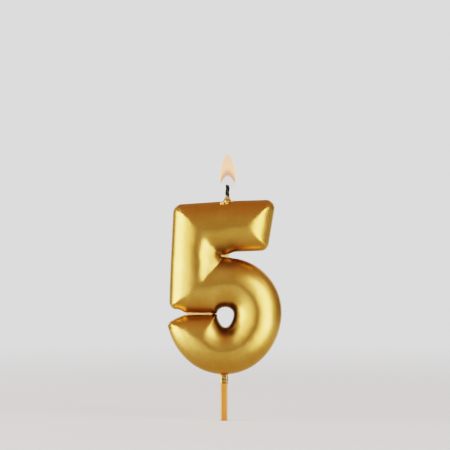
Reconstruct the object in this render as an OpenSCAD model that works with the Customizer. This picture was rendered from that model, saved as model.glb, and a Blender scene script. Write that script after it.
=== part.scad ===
// Number birthday candle: a puffy moulded figure 5 in lacquered wax, on a square pick.
// Frame: origin at the centre of the pick's lower end, +Z up along the pick,
// front of the figure towards -Y, reader's right towards +X. Millimetres.

/* [Figure] */
// Thickness of the figure, front to back, over the lacquer
figure_t = 15; // [12:0.5:18]
// Distance in from the outline at which the swollen face reaches full height
swell = 10; // [8:0.5:11]
// Thickness of the flat land left at the mould's parting line
parting_land = 0.6; // [0.4:0.1:1.2]
// Radius of the bowl's upper right arc
bowl_r = 21.7; // [21:0.1:22]
// Half width of the bowl's lower ellipse
bowl_a = 23; // [22.6:0.1:23.2]
// Half height of the bowl's lower ellipse
bowl_b = 24.8; // [24:0.1:24.8]
// Height of the bowl's centre above the pick's lower end
bowl_z = 43.3; // [43:0.1:43.6]
// Half width of the egg-shaped through hole
hole_a = 3.2; // [2.6:0.1:3.6]
// Half height of the egg-shaped through hole
hole_b = 4.1; // [3.6:0.1:4.4]
// Half thickness of the wax webs that close the two slits
web_t = 0.9; // [0.6:0.1:1.4]

/* [Lacquer] */
// Wall of the metallic lacquer coat on the wax
lacquer_t = 0.2; // [0.15:0.05:0.35]
// Wall of the lacquer that runs down on to the pick
sleeve_t = 0.15; // [0.1:0.05:0.25]
// Length of pick that the lacquer covers below the figure
sleeve_l = 3.8; // [2:0.2:6]

/* [Pick] */
// Width of the square-cut pick, left to right
pick_w = 2.8; // [2.4:0.1:3.2]
// Depth of the pick, front to back
pick_d = 2.4; // [2:0.1:2.8]
// Chamfer on the pick's long corners
pick_c = 0.45; // [0.2:0.05:0.6]
// Length of pick below the figure
pick_exposed = 18.5; // [18.5]
// Length of pick cast into the wax
pick_embed = 12; // [8:0.5:14]

/* [Wick] */
// Radius of one ply of the wick
ply_r = 0.36; // [0.3:0.02:0.36]
// Distance from the wick's axis to a ply's centre
ply_orbit = 0.43; // [0.43:0.01:0.5]
// Length of wick standing out of the wax
wick_exposed = 6.4; // [4:0.2:10]
// Length of wick inside the wax
wick_embed = 15; // [8:0.5:16]
// Length of one full turn of a ply
wick_lay = 8.4; // [7:0.2:12]
// Lean of the wick to the right, in degrees
wick_lean = 2; // [0:0.5:4]

/* [Flame] */
// Height of the flame's tip above the wick's tip
flame_rise = 12.2; // [8:0.2:16]
// Half width of the flame
flame_r = 3.25; // [2.5:0.05:4]

/* [Hidden] */
$fn = 48;

H = figure_t / 2;
land = parting_land / 2;
NV = 11;                       // columns across the stroke
wick_x = 1.25;                 // where the wick leaves the figure
wick_z = 88;
pick_fit = 0.04;               // gap round the pick in its socket

// ---- plane geometry -------------------------------------------------------
function unit(v) = v / norm(v);
function mix(a, b, t) = a + (b - a) * t;
function polar(c, r, a) = [c.x + r * cos(a), c.y + r * sin(a)];
// n + 1 points of the fillet of radius r that rounds corner q between p and s
function fillet(p, q, s, r, n, f0 = 0, f1 = 1) =
    let (u = unit(p - q), w = unit(s - q),
         half = acos(u * w) / 2,
         c = q + unit(u + w) * r / sin(half),
         ta = q + u * r / tan(half), tb = q + w * r / tan(half),
         a0 = atan2(ta.y - c.y, ta.x - c.x),
         raw = atan2(tb.y - c.y, tb.x - c.x) - a0,
         da = raw > 180 ? raw - 360 : raw < -180 ? raw + 360 : raw)
    [for (i = [0:n]) polar(c, r, a0 + da * mix(f0, f1, i / n))];
// running length along a list of points
function runs(p, i = 0, s = 0) =
    i == len(p) - 1 ? [s]
    : concat([s], runs(p, i + 1, s + norm(p[i + 1] - p[i])));
function spot(p, r, s, i = 1) =
    (i >= len(p) - 1 || r[i] >= s)
    ? mix(p[i - 1], p[i], (s - r[i - 1]) / (r[i] - r[i - 1]))
    : spot(p, r, s, i + 1);
// n + 1 evenly spaced points along a list of points
function even(p, n) =
    let (r = runs(p), l = r[len(r) - 1])
    [for (i = [0:n]) spot(p, r, l * i / n)];
function tail_of(l) = [for (i = [1:len(l) - 1]) l[i]];
function last(l) = l[len(l) - 1];
// pieces joined end to end, without the repeated joint points
function chain(pieces, i = 0) =
    i == len(pieces) - 1 ? (i == 0 ? pieces[0] : tail_of(pieces[i]))
    : concat(i == 0 ? pieces[0] : tail_of(pieces[i]), chain(pieces, i + 1));

// ---- outline of the figure, in X and Z --------------------------------------
top_right = [20.8, 88.3];
low_right = [17.4, 68.1];
bar_under = [4.2, 67.5];
top_mid = [-3, 87.4];
top_left = [-20.2, 86.2];
stem_left = [-21.6, 55];
foot_left = [-21.8, 45];
notch_up = [-17.8, 44.5];
notch_low = [-17.8, 41.2];
tail_corner = [-22.9, 39];
slit_end = [-0.9, 65.85];

function bowl_up(a) = [1.3 + bowl_r * cos(a), bowl_z + bowl_r * sin(a)];
function bowl_low(a) = [bowl_a * cos(a), bowl_z + bowl_b * sin(a)];
function eye(a) = [0.55 + hole_a * cos(a) * (1 + 0.27 * sin(a)), 41.3 + hole_b * sin(a)];

tail_a = bowl_low(-168);
// matching pieces of the stroke's inner side (A) and outer side (B), each with
// the same number of steps: bar end, bar, slit, corner, stem, foot, arm, bowl, tail
n1 = 4; n2 = 5; n3 = 5; n4 = 4; n5 = 9; n6 = 4; n7 = 8; n8 = 24; n9 = 6; n10 = 6;

A1 = fillet(top_right, low_right, bar_under, 3, n1);
B1 = fillet(low_right, top_right, top_mid, 3.2, n1);
B4 = fillet(top_mid, top_left, stem_left, 3.4, n4);
B6 = fillet(stem_left, foot_left, notch_up, 2.4, n6);
A2 = even([last(A1), bar_under], n2);
B2 = even([last(B1), [1, 87.65]], n2);
A3 = even([bar_under, [2.6, 67.1], [1.4, 66.4], polar(slit_end, 0.4, 90)], n3);
B3 = even([[1, 87.65], top_mid, B4[0]], n3);
A4 = [for (i = [0:n4]) polar(slit_end, 0.4, 90 + 55 * i / n4)];
A5 = [for (i = [0:n5]) polar(slit_end, 0.4, 145 + 70 * i / n5)];
B5 = even([last(B4), stem_left, B6[0]], n5);
A6 = [for (i = [0:n6]) polar(slit_end, 0.4, 215 + 55 * i / n6)];
A7 = even([polar(slit_end, 0.4, 270), [1.4, 65.3], [2.6, 64.9], bowl_up(84)], n7);
B7 = even([last(B6), notch_up, [-15.7, 43.9], [-14, 43.3], eye(155)], n7);
A8 = even(concat([for (a = [84:-6:0]) bowl_up(a)],
                 [for (a = [-5:-5:-110]) bowl_low(a)]), n8);
B8 = [for (i = [0:n8]) eye(155 - 352 * i / n8)];
A9 = even([for (a = [-110:-5:-150]) bowl_low(a)], n9);
B9 = even([eye(-197), [-14, 42.3], [-15.7, 41.8]], n9);
A10 = even(concat([bowl_low(-150), bowl_low(-156), bowl_low(-160)],
                  fillet(tail_a, tail_corner, notch_low, 2, 8, 0, 0.45)), n10);
B10 = even(concat([[-15.7, 41.8]], [notch_low],
                  fillet(notch_low, tail_corner, tail_a, 2, 8, 0, 0.45)), n10);

side_a = chain([A1, A2, A3, A4, A5, A6, A7, A8, A9, A10]);
side_b = chain([B1, B2, B3, B4, B5, B6, B7, B8, B9, B10]);
NU = len(side_a);
loop = concat(side_a, [for (i = [NU - 1:-1:0]) side_b[i]]);
NL = len(loop);

// ---- swollen surface --------------------------------------------------------
function gap2(p, a, b) =
    let (d = b - a, w = p - a, dd = d * d,
         t = dd > 0 ? max(0, min(1, (w * d) / dd)) : 0,
         e = w - d * t)
    e * e;
// the lines of the bar's underside and of the arm's top, carried on to the left
under_line = concat([[-34, 66.25], [-0.9, 66.25], [1.4, 66.4], [2.6, 67.1]], [bar_under],
                    [[14, 68], [40, 69]]);
arm_line = concat([[-34, 65.45], [-0.9, 65.45], [1.4, 65.3], [2.6, 64.9]],
                  [for (a = [84:-6:6]) bowl_up(a)]);
slit_from = n1 + n2;                     // steps of side A that follow the slit
slit_to = n1 + n2 + n3 + n4 + n5 + n6 + n7;
function line_gap(p, l) = sqrt(min([for (i = [0:len(l) - 2]) gap2(p, l[i], l[i + 1])]));
function over(p, l) = (p.y > lookup(p.x, l) ? 1 : -1) * line_gap(p, l);
// the stem's inner face is flat where it meets the bar and the arm, so the
// three meet in two straight mitred valleys that run out from the slit's end
function inner_x(z) = slit_end.x - 0.4 + 1.4 * max(0, min(1, (slit_end.y - z) / 1.5));
function slit_gap(p) = max(0, over(p, under_line), inner_x(p.y) - p.x, -over(p, arm_line));
function off_edge(p) =
    min(slit_gap(p),
        sqrt(min([for (i = [0:NL - 1]) if (i < slit_from || i >= slit_to)
                  gap2(p, loop[i], loop[(i + 1) % NL])])));
function rise(d, full, rim) =
    let (t = 1 - min(d, swell) / swell) rim + (full - rim) * sqrt(1 - t * t);
function across(j) = (1 - cos(180 * j / (NV - 1))) / 2;

// plan position of column j of section i, with the whole stroke trimmed by s
function inset_u(i, s) = s == 0 ? i : i == 0 ? 0.35 : i == NU - 1 ? NU - 1.2 : i;
function at_u(side, u) = let (i = min(NU - 2, floor(u))) mix(side[i], side[i + 1], u - i);
function plan(i, j, s) =
    let (u = inset_u(i, s), a = at_u(side_a, u), b = at_u(side_b, u),
         l = norm(b - a), k = unit(b - a),
         a2 = a + k * min(s * 1.2, l / 3), b2 = b - k * min(s * 1.2, l / 3))
    mix(a2, b2, across(j));

// closed puffy figure, trimmed inwards by s all over
module puffy(s = 0) {
    grid = [for (i = [0:NU - 1]) for (j = [0:NV - 1])
        let (p = plan(i, j, s),
             edge = i == 0 || i == NU - 1 || j == 0 || j == NV - 1,
             y = edge ? land : max(land, rise(max(0, off_edge(p) - s), H - s, land)))
        [p.x, p.y, y]];
    n = NU * NV;
    pts = concat([for (g = grid) [g.x, -g.z, g.y]], [for (g = grid) [g.x, g.z, g.y]]);
    front = [for (i = [0:NU - 2]) for (j = [0:NV - 2])
        let (a = i * NV + j, b = a + NV, c = b + 1, d = a + 1)
        each (j < (NV - 1) / 2 ? [[a, d, c], [a, c, b]] : [[a, d, b], [d, c, b]])];
    back = [for (f = front) [f[2] + n, f[1] + n, f[0] + n]];
    rim = concat(
        [for (i = [0:NU - 2]) let (a = i * NV, b = a + NV) each [[a, b, b + n], [a, b + n, a + n]]],
        [for (i = [0:NU - 2]) let (a = i * NV + NV - 1, b = a + NV) each [[b, a, a + n], [b, a + n, b + n]]],
        [for (j = [0:NV - 2]) let (a = j, b = a + 1) each [[b, a, a + n], [b, a + n, b + n]]],
        [for (j = [0:NV - 2]) let (a = (NU - 1) * NV + j, b = a + 1) each [[a, b, b + n], [a, b + n, a + n]]]);
    polyhedron(points = pts, convexity = 12,
               faces = [for (f = concat(front, back, rim)) [f[2], f[1], f[0]]]);
}

// thin webs of wax that close the two slits, ending short of the notches and
// of the hole; s trims them like the rest
function right_web(s) = [[-1.7, 65.1], [-1.7, 66.6], [1.3, 67], [2.9 - s, 67.6], [2.2 - s, 66.7],
    [2 - s, 66.1], [2.2 - s, 65.5], [2.9 - s, 64.4], [1.3, 64.8]];
function left_web(s) = [[-16.2 + s, 44.6], [-14.2, 43.9], [-2.9 - s, 43.8], [-2.9 - s, 41.9],
    [-14.2, 41.7], [-16.2 + s, 41], [-15.5 + s, 42.2], [-15.3 + s, 42.9], [-15.5 + s, 43.6]];
module web(outline, t)
    rotate([90, 0, 0]) linear_extrude(height = 2 * t, center = true) polygon(outline);

module form(s = 0) union() {
    puffy(s);
    web(right_web(s), web_t - s);
    web(left_web(s), web_t - s);
}

module on_wick() translate([wick_x, 0, wick_z]) rotate([0, wick_lean, 0]) children();

module pick_section(grow = 0)
    let (w = pick_w / 2 + grow, d = pick_d / 2 + grow, c = pick_c + grow * 0.6)
    polygon([[-w + c, -d], [w - c, -d], [w, -d + c], [w, d - c],
             [w - c, d], [-w + c, d], [-w, d - c], [-w, -d + c]]);

// ---- the pieces -------------------------------------------------------------
module gold_lacquer_skin()
    color([0.76, 0.57, 0.25])
    resize([0, 0, 0]) difference() {
        form(0);
        form(lacquer_t);
        on_wick() translate([0, 0, -1.4]) cylinder(r = 1.8, h = 4, $fn = 24);
        translate([0, 0, pick_exposed - 1])
            linear_extrude(height = 2) pick_section(sleeve_t);
    }

module wax_core()
    color([0.95, 0.92, 0.84])
    resize([0, 0, 0]) difference() {
        form(lacquer_t);
        on_wick() translate([0, 0, -wick_embed - 0.2])
            cylinder(r = 0.87, h = wick_embed + 4, $fn = 24);
        on_wick() translate([0, 0, -1]) cylinder(r = 1.8, h = 4, $fn = 24);
        translate([0, 0, pick_exposed - 1])
            linear_extrude(height = pick_embed + 1 + pick_fit) pick_section(pick_fit);
    }

// dab of wax that seals the wick where it leaves the figure
module wick_seal()
    color([0.72, 0.5, 0.18])
    on_wick() rotate_extrude()
        polygon([[0.87, -0.98], [1.76, -0.98], [1.76, -0.3], [1.62, 0], [1.36, 0.3],
                 [1.14, 0.7], [1.0, 1.1], [0.87, 1.2]]);

// beads of lacquered wax that ran from the seal; each is cut flat where it sits
module bead(x, y, z, r, tilt, stretch = 0)
    translate([x, y, z]) rotate([tilt, 0, 0]) intersection() {
        union() {
            translate([-stretch, 0, r * 0.35]) sphere(r = r);
            translate([stretch, 0, r * 0.35]) sphere(r = r);
        }
        translate([-4, -4, 0]) cube([8, 8, 8]);
    }
module wax_drips()
    color([0.93, 0.78, 0.42]) {
        bead(-0.8, -2.85, 86.82, 0.8, 29);
        bead(1.4, -2.7, 87.05, 0.55, 27, 0.35);
        bead(3.3, -1.1, 87.66, 0.45, 12);
    }

module ply(k)
    on_wick() translate([0, 0, -wick_embed])
        linear_extrude(height = wick_embed + wick_exposed,
                       twist = 360 * (wick_embed + wick_exposed) / wick_lay, slices = 42, $fn = 8)
            rotate(120 * k) translate([ply_orbit, 0]) circle(r = ply_r, $fn = 8);
module wick_ply_1() color([0.12, 0.1, 0.09]) ply(0);
module wick_ply_2() color([0.18, 0.15, 0.13]) ply(1);
module wick_ply_3() color([0.25, 0.21, 0.18]) ply(2);

module pick()
    color([0.85, 0.62, 0.32])
    linear_extrude(height = pick_exposed + pick_embed) pick_section();

// lacquer that ran down on to the pick when the figure was dipped
module pick_lacquer_sleeve()
    color([0.9, 0.75, 0.4])
    translate([0, 0, pick_exposed - sleeve_l])
        linear_extrude(height = sleeve_l + 0.15)
            difference() { pick_section(sleeve_t - 0.01); pick_section(0.01); }

// flame, open underneath round the wick's tip
module flame()
    color([0.98, 0.85, 0.7])
    let (tip = wick_z + wick_exposed, r = flame_r, h = flame_rise)
    translate([1.5, 0, tip]) rotate_extrude()
        polygon([[0, h], [0.27 * r, 0.955 * h], [0.5 * r, 0.85 * h], [0.66 * r, 0.76 * h],
                 [0.8 * r, 0.66 * h], [0.9 * r, 0.565 * h], [0.97 * r, 0.44 * h], [r, 0.3 * h],
                 [r, 0.18 * h], [0.99 * r, 0.06 * h], [0.96 * r, -0.02 * h], [0.9 * r, -0.03 * h],
                 [0.82 * r, 0.01 * h], [0.7 * r, 0.09 * h], [0.5 * r, 0.17 * h],
                 [0.25 * r, 0.235 * h], [0, 0.255 * h]]);

gold_lacquer_skin();
wax_core();
wick_seal();
wax_drips();
wick_ply_1();
wick_ply_2();
wick_ply_3();
pick();
pick_lacquer_sleeve();
flame();
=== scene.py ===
"""Looks of the number birthday candle: a puffy figure 5 in lacquered gold wax, lit, on a square pick."""

import math

import bmesh
import bpy
import numpy as np
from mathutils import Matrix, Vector, noise


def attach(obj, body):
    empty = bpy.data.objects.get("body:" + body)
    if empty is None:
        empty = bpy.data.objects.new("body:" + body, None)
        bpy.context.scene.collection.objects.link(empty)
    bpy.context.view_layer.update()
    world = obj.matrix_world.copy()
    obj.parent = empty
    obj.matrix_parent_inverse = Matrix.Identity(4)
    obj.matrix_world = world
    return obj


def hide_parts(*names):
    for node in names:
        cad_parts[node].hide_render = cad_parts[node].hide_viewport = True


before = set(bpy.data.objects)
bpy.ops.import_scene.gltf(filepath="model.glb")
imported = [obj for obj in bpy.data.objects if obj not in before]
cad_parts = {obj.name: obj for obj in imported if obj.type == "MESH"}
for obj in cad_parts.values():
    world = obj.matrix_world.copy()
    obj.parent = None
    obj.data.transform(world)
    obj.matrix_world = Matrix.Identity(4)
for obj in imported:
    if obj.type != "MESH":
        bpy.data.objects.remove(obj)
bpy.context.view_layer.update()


MM = 0.001
rng = np.random.default_rng(5)

# ---------------------------------------------------------------------------
# camera, in the row frame: the figure's front faces -Y
# ---------------------------------------------------------------------------
scene = bpy.context.scene
cam_data = bpy.data.cameras.new("camera")
cam = bpy.data.objects.new("camera", cam_data)
scene.collection.objects.link(cam)
CAM_D = 1.05
cam_data.sensor_width = 36.0
cam_data.lens = 36.0 * CAM_D / 0.180  # 180 mm across at the candle
cam_data.clip_start, cam_data.clip_end = 0.01, 20.0
cam.location = (0.0004, -CAM_D, 0.0782)
cam.rotation_euler = (math.radians(90), 0, 0)
scene.camera = cam

# ---------------------------------------------------------------------------
# plane geometry of the figure, in millimetres, X to the right and Z up
# ---------------------------------------------------------------------------


def v2(*p):
    return np.array(p, float)


def unit(v):
    return v / np.linalg.norm(v)


def fillet(p, q, s, r, n, f0=0.0, f1=1.0):
    """n + 1 points of the arc of radius r that rounds corner q between p and s."""
    p, q, s = v2(*p), v2(*q), v2(*s)
    u, w = unit(p - q), unit(s - q)
    half = math.acos(float(np.clip(u @ w, -1, 1))) / 2
    c = q + unit(u + w) * r / math.sin(half)
    ta, tb = q + u * r / math.tan(half), q + w * r / math.tan(half)
    a0 = math.atan2(ta[1] - c[1], ta[0] - c[0])
    da = math.atan2(tb[1] - c[1], tb[0] - c[0]) - a0
    da = (da + math.pi) % (2 * math.pi) - math.pi
    return [c + r * v2(math.cos(a0 + da * t), math.sin(a0 + da * t)) for t in np.linspace(f0, f1, n + 1)]


def spline(points, n=24):
    """A smooth line through the points, n steps between each two."""
    p = [v2(*q) for q in points]
    p = [2 * p[0] - p[1], *p, 2 * p[-1] - p[-2]]
    out = []
    for i in range(1, len(p) - 2):
        a, b, c, d = p[i - 1], p[i], p[i + 1], p[i + 2]
        for t in np.linspace(0, 1, n, endpoint=False):
            out.append(
                0.5 * (2 * b + (c - a) * t + (2 * a - 5 * b + 4 * c - d) * t * t + (3 * b - a - 3 * c + d) * t**3)
            )
    return [*out, p[-2]]


def joined(*lists):
    out = []
    for l in lists:
        for q in l:
            if not out or np.linalg.norm(q - out[-1]) > 1e-4:
                out.append(v2(*q))
    return out


def even(points, n, ease=0.0):
    """n + 1 points along a line, evenly spaced; ease > 0 crowds them towards both ends."""
    p = np.array(points)
    run = np.concatenate([[0], np.cumsum(np.linalg.norm(np.diff(p, axis=0), axis=1))])
    t = np.linspace(0, 1, n + 1)
    t = (1 - ease) * t + ease * (1 - np.cos(np.pi * t)) / 2
    s = t * run[-1]
    return [v2(np.interp(x, run, p[:, 0]), np.interp(x, run, p[:, 1])) for x in s]


BOWL_Z = 43.3


def bowl_up(a):
    a = math.radians(a)
    return v2(1.3 + 21.7 * math.cos(a), BOWL_Z + 21.7 * math.sin(a))


def bowl_low(a):
    a = math.radians(a)
    return v2(23.0 * math.cos(a), BOWL_Z + 24.8 * math.sin(a))


def eye(a):
    a = math.radians(a)
    return v2(0.55 + 3.2 * math.cos(a) * (1 + 0.27 * math.sin(a)), 41.3 + 4.1 * math.sin(a))


TOP_R, LOW_R = (20.8, 88.3), (17.45, 68.05)
TOP_L, FOOT_L = (-20.2, 86.25), (-21.85, 44.85)
TAIL = (-22.95, 39.0)

end_low = fillet(TOP_R, LOW_R, (8, 67.6), 3.1, 40)
end_top = fillet(LOW_R, TOP_R, (10, 88.0), 3.3, 40)
top_line = spline([(14, 88.09), (6, 87.86), (0, 87.58), (-6, 87.2), (-12, 86.8), (-15.4, 86.56)])
corner_tl = fillet((-12, 86.8), TOP_L, (-20.65, 76), 3.6, 40)
left_line = spline([(-20.42, 81.3), (-20.8, 73), (-21.25, 64), (-21.6, 55), (-21.78, 49)])
corner_foot = fillet((-21.7, 52), FOOT_L, (-18.2, 44.45), 2.6, 40)
bar_under = spline([(13.5, 67.87), (9, 67.68), (6, 67.58), (4.3, 67.42), (2.9, 67.0), (1.5, 66.5), (0.2, 66.22), (-0.9, 66.15)])
SLIT = v2(-0.9, 65.85)
slit_arc = [SLIT + 0.3 * v2(math.cos(a), math.sin(a)) for a in np.radians(np.linspace(90, 270, 121))]
arm_top = joined(
    spline([(-0.9, 65.55), (0.2, 65.5), (1.5, 65.32), (2.6, 65.1), tuple(bowl_up(84))]),
    [bowl_up(a) for a in np.linspace(84, 0, 260)],
)
bowl_line = [bowl_low(a) for a in np.linspace(0, -168, 480)]
tail_arc = fillet(tuple(bowl_low(-168)), TAIL, (-18.2, 41.1), 2.0, 60)
slit_up = spline(
    [(-18.9, 44.55), (-17.9, 44.35), (-17.0, 43.98), (-16.2, 43.5), (-15.2, 43.22), (-13, 43.12), (-9, 43.06), (-4.6, 43.02), (-3.05, 43.0)]
)
slit_low = spline(
    [(-3.05, 42.46), (-4.6, 42.46), (-9, 42.46), (-13, 42.38), (-15.0, 42.24), (-16.2, 41.98), (-17.2, 41.64), (-18.3, 41.2), (-19.6, 40.65)]
)
eye_up = fillet((-3.7, 43.0), (-2.69, 43.0), tuple(eye(149)), 0.16, 24)
eye_low = fillet(tuple(eye(-190)), (-2.76, 42.46), (-3.7, 42.46), 0.16, 24)
eye_line = [eye(a) for a in np.linspace(149, -190, 420)]

# labelled stretches of the boundary; the distance to each is smooth, and the
# creases of the stroke lie where two of them are equally near
LAB = {
    "end": joined(end_low[:21][::-1], end_top[:21]),
    "top": joined(end_top[20:], top_line, corner_tl[:21]),
    "left": joined(corner_tl[20:], left_line, corner_foot[:21]),
    "foot": joined(corner_foot[20:], slit_up, eye_up[:13]),
    "eye": joined(eye_up[12:], eye_line, eye_low[:13]),
    "tail": joined(eye_low[12:], slit_low, tail_arc[::-1][:31]),
    "bowl": joined([bowl_up(a) for a in np.linspace(80, 0, 260)], bowl_line, tail_arc[:31]),
    "under": joined(end_low[20:], [v2(13.5, 67.87)]),
}


def near(points, line, signed=False):
    """Distance from each point to a polyline; signed gives the side as well, positive on its left."""
    a, b = np.array(line[:-1]), np.array(line[1:])
    d = b - a
    dd = (d * d).sum(1)
    out = np.empty(len(points))
    for k in range(0, len(points), 1500):
        p = points[k : k + 1500, None, :]
        w = p - a
        t = np.clip((w * d).sum(2) / dd, 0, 1)
        e = w - t[..., None] * d
        q = (e * e).sum(2)
        i = q.argmin(1)
        r = np.sqrt(q[np.arange(len(i)), i])
        if signed:
            di, wi = d[i], w[np.arange(len(i)), i]
            r = r * np.sign(di[:, 0] * wi[:, 1] - di[:, 1] * wi[:, 0])
        out[k : k + 1500] = r
    return out


UNDER_EXT = joined([v2(-34, 66.15)], bar_under[::-1], [v2(40, 69.0)])
ARM_EXT = joined([v2(-34, 65.55)], arm_top, bowl_line[:240])
X_SLIT = -1.2


def smooth_max(a, b, k):
    h = np.clip(0.5 + 0.5 * (a - b) / k, 0, 1)
    return b + (a - b) * h + k * h * (1 - h)


def depth(points):
    """How far inside the figure each point lies. The stem's inner face is flat where it meets the bar and the arm: a soft valley above the slit's end, a crisp one below it."""
    above = near(points, UNDER_EXT, True)
    below = -near(points, ARM_EXT, True)
    low = np.clip((67.2 - points[:, 1]) / 4.4, 0, 1)
    low = low * low * (3 - 2 * low)
    right = X_SLIT + 1.4 * low - points[:, 0]
    bow = 0.22 + 0.33 * np.clip((points[:, 1] - SLIT[1]) / 3.0, 0, 1)
    right = np.where(right > 0, (1 - bow) * right + bow * np.sqrt(right**2 + (points[:, 1] - SLIT[1]) ** 2 * np.clip(right / 2.0, 0, 1)), right)
    k = 0.45 + 1.5 * np.clip((points[:, 1] - SLIT[1] - 1.0) / 4.0, 0, 1)
    slit = smooth_max(smooth_max(above, below, 0.4), right, k)
    slit = np.maximum(slit, 0)
    each = np.stack([slit, *(near(points, l) for l in LAB.values())])
    least = each.min(0)
    k = 0.04 + 0.36 * np.clip(least / 3.0, 0, 1)
    return np.maximum(0, least - k * np.log(np.exp(-(each - least) / k).sum(0))), each[0]


# ---------------------------------------------------------------------------
# the stroke as a ribbon of quads: side A runs under the bar, round the slit's
# end and down the bowl, side B along the top, the stem and round the eye
# ---------------------------------------------------------------------------
FINE = 1.0


def steps(n):
    return max(4, int(round(n * FINE / 2)) * 2)


n1, n2, n3, n4, n5, n6, n7, n7b, n8, n10 = (steps(n) for n in (18, 34, 26, 22, 90, 22, 12, 40, 200, 26))
foot_to_tip = [q for q in slit_up if q[0] < -15.7]
tip_to_eye = joined([foot_to_tip[-1]], [q for q in slit_up if q[0] >= -15.7])
eye_to_tip = joined([q for q in slit_low if q[0] > -15.7])
tip_to_tail = joined([eye_to_tip[-1]], [q for q in slit_low if q[0] <= -15.7])
under_a = joined([end_low[-1]], [v2(13.5, 67.87)], [q for q in bar_under if q[0] > 4.3])
under_lip = joined([under_a[-1]], [q for q in bar_under if q[0] <= 4.3])
arm_lip = [q for q in arm_top if q[0] <= 3.4]
arm_rest = joined([arm_lip[-1]], [q for q in arm_top if q[0] > 3.4])
top_a = joined([end_top[-1]], [q for q in top_line if q[0] > 1.0])
top_b = joined([top_a[-1]], [q for q in top_line if q[0] <= 1.0], [corner_tl[0]])
arcs = np.array(slit_arc)
cut = [0, 30, 90, 120]

bowl_a = joined(arm_rest, [q for q in bowl_line[: int(480 * 110 / 168)]])
bowl_b = joined([bowl_a[-1]], bowl_line[int(480 * 110 / 168) : int(480 * 150 / 168)])
bowl_c = joined([bowl_b[-1]], bowl_line[int(480 * 150 / 168) :], tail_arc[:29])
pairs = [
    (even(end_low, n1), even(end_top, n1)),
    (even(under_a, n2), even(top_a, n2)),
    (even(under_lip, n3), even(top_b, n3)),
    (even(slit_arc[cut[0] : cut[1] + 1], n4), even(corner_tl, n4)),
    (even(slit_arc[cut[1] : cut[2] + 1], n5), even(joined([corner_tl[-1]], left_line, [corner_foot[0]]), n5)),
    (even(slit_arc[cut[2] : cut[3] + 1], n6), even(corner_foot, n6)),
    (even(arm_lip[: len(arm_lip) // 3 + 1], n7), even(joined([corner_foot[-1]], foot_to_tip), n7)),
    (even(joined(arm_lip[len(arm_lip) // 3 :]), n7b), even(tip_to_eye, n7b)),
    (even(bowl_a, n8), even(joined(eye_up, eye_line, eye_low), n8)),
    (even(bowl_b, n7b), even(eye_to_tip, n7b)),
    (even(bowl_c, n10), even(joined(tip_to_tail, tail_arc[::-1][:29]), n10)),
]
marks = np.concatenate([[0], np.cumsum([len(a) - 1 for a, b in pairs])])
side_a, side_b = [pairs[0][0][0]], [pairs[0][1][0]]
for a, b in pairs:
    side_a += a[1:]
    side_b += b[1:]
side_a, side_b = np.array(side_a), np.array(side_b)
NU = len(side_a)
NV = 45
col = (1 - np.cos(np.pi * np.arange(NV) / (NV - 1))) / 2
plan = side_a[:, None, :] + (side_b - side_a)[:, None, :] * col[None, :, None]

HALF = 7.5  # half the figure's thickness
REACH = 11.3  # depth at which the face is fully swollen
LAND = 0.28
flat = plan.reshape(-1, 2)
deep, _ = depth(flat)
lips = [
    joined([q for q in under_lip if q[0] < 2.4], slit_arc, [q for q in arm_lip if q[0] < 2.4]),
    joined([q for q in slit_up if q[0] > -15.9]),
    joined([q for q in slit_low if q[0] > -15.9]),
]
lip_near = np.min([near(flat, l) for l in lips], axis=0)
WEB = 0.85


def ripple(x, z, cx, cz, rx, rz, wave, tilt=0.0):
    """A patch of fine parallel ripples, fading out all round."""
    m = np.exp(-(((x - cx) / rx) ** 2) - ((z - cz) / rz) ** 2)
    return m * np.sin(2 * math.pi * (z + tilt * x) / wave)


def swell(x, z, seed):
    """The slow unevenness of a hand-finished casting."""
    return (
        0.5 * np.sin(0.42 * x + 0.31 * z + seed)
        + 0.3 * np.sin(0.23 * x - 0.57 * z + 1.7 * seed)
        + 0.2 * np.sin(0.91 * x + 0.83 * z + 2.3 * seed)
    )


def height_at(pts, inner, lip, side):
    """Height of the face over the middle plane, given depth inside the figure and distance to a slit's lip."""
    x, z = pts[:, 0], pts[:, 1]
    base = LAND + (WEB - LAND) * np.clip(1 - lip / 1.4, 0, 1) ** 1.5
    t = 1 - np.clip(inner / REACH, 0, 1)
    h = base + (HALF * 1.004 - base) * np.sqrt(np.clip(1 - t**2, 0, 1))
    h = h + 0.055 * (swell(x, z, 0.4 if side < 0 else 2.9) - 1.0) * np.clip(inner / 2.5, 0, 1)
    # the stem's right flank falls away from a crisp ridge beside the slit
    past = np.clip((x + 10.7 - 0.10 * (z - 60.0)) / 4.2, 0, 1)
    span = np.clip((z - 53.5) / 4.0, 0, 1) * np.clip((75.0 - z) / 5.0, 0, 1)
    tied = np.clip((inner - 0.6) / 6.0, 0, 1)
    back = np.clip((4.5 - x) / 11.0, 0, 1)
    fall = np.ones(len(x))
    for q in (past, span, tied, back):
        fall = fall * q**2 * (3 - 2 * q)
    h = h - 0.52 * fall
    fine = np.clip(inner / 0.8, 0, 1)
    h = h + 0.05 * ripple(x, z, -15.2, 46.6, 3.4, 1.3, 1.05, 0.05) * fine
    h = h + 0.035 * ripple(x, z, -17.2, 39.6, 2.6, 1.0, 0.95, -0.4) * fine
    h = h + 0.035 * ripple(x, z, 3.2, 63.3, 3.2, 1.0, 0.9, 0.06) * fine
    return h + 0.03 * ripple(x, z, 6.0, 69.6, 5.0, 1.0, 1.1, 0.0) * fine


def face_height(side):
    return height_at(flat, deep, lip_near, side).reshape(NU, NV)


class Skin:
    """Collects the figure's vertices and quads, front and back, with its rim."""

    def __init__(self):
        self.v, self.f, self.m = [], [], []

    def add(self, pts):
        k = len(self.v)
        self.v += [tuple(p) for p in pts]
        return list(range(k, len(self.v)))


skin = Skin()
WEB_ROWS = 6


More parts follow.
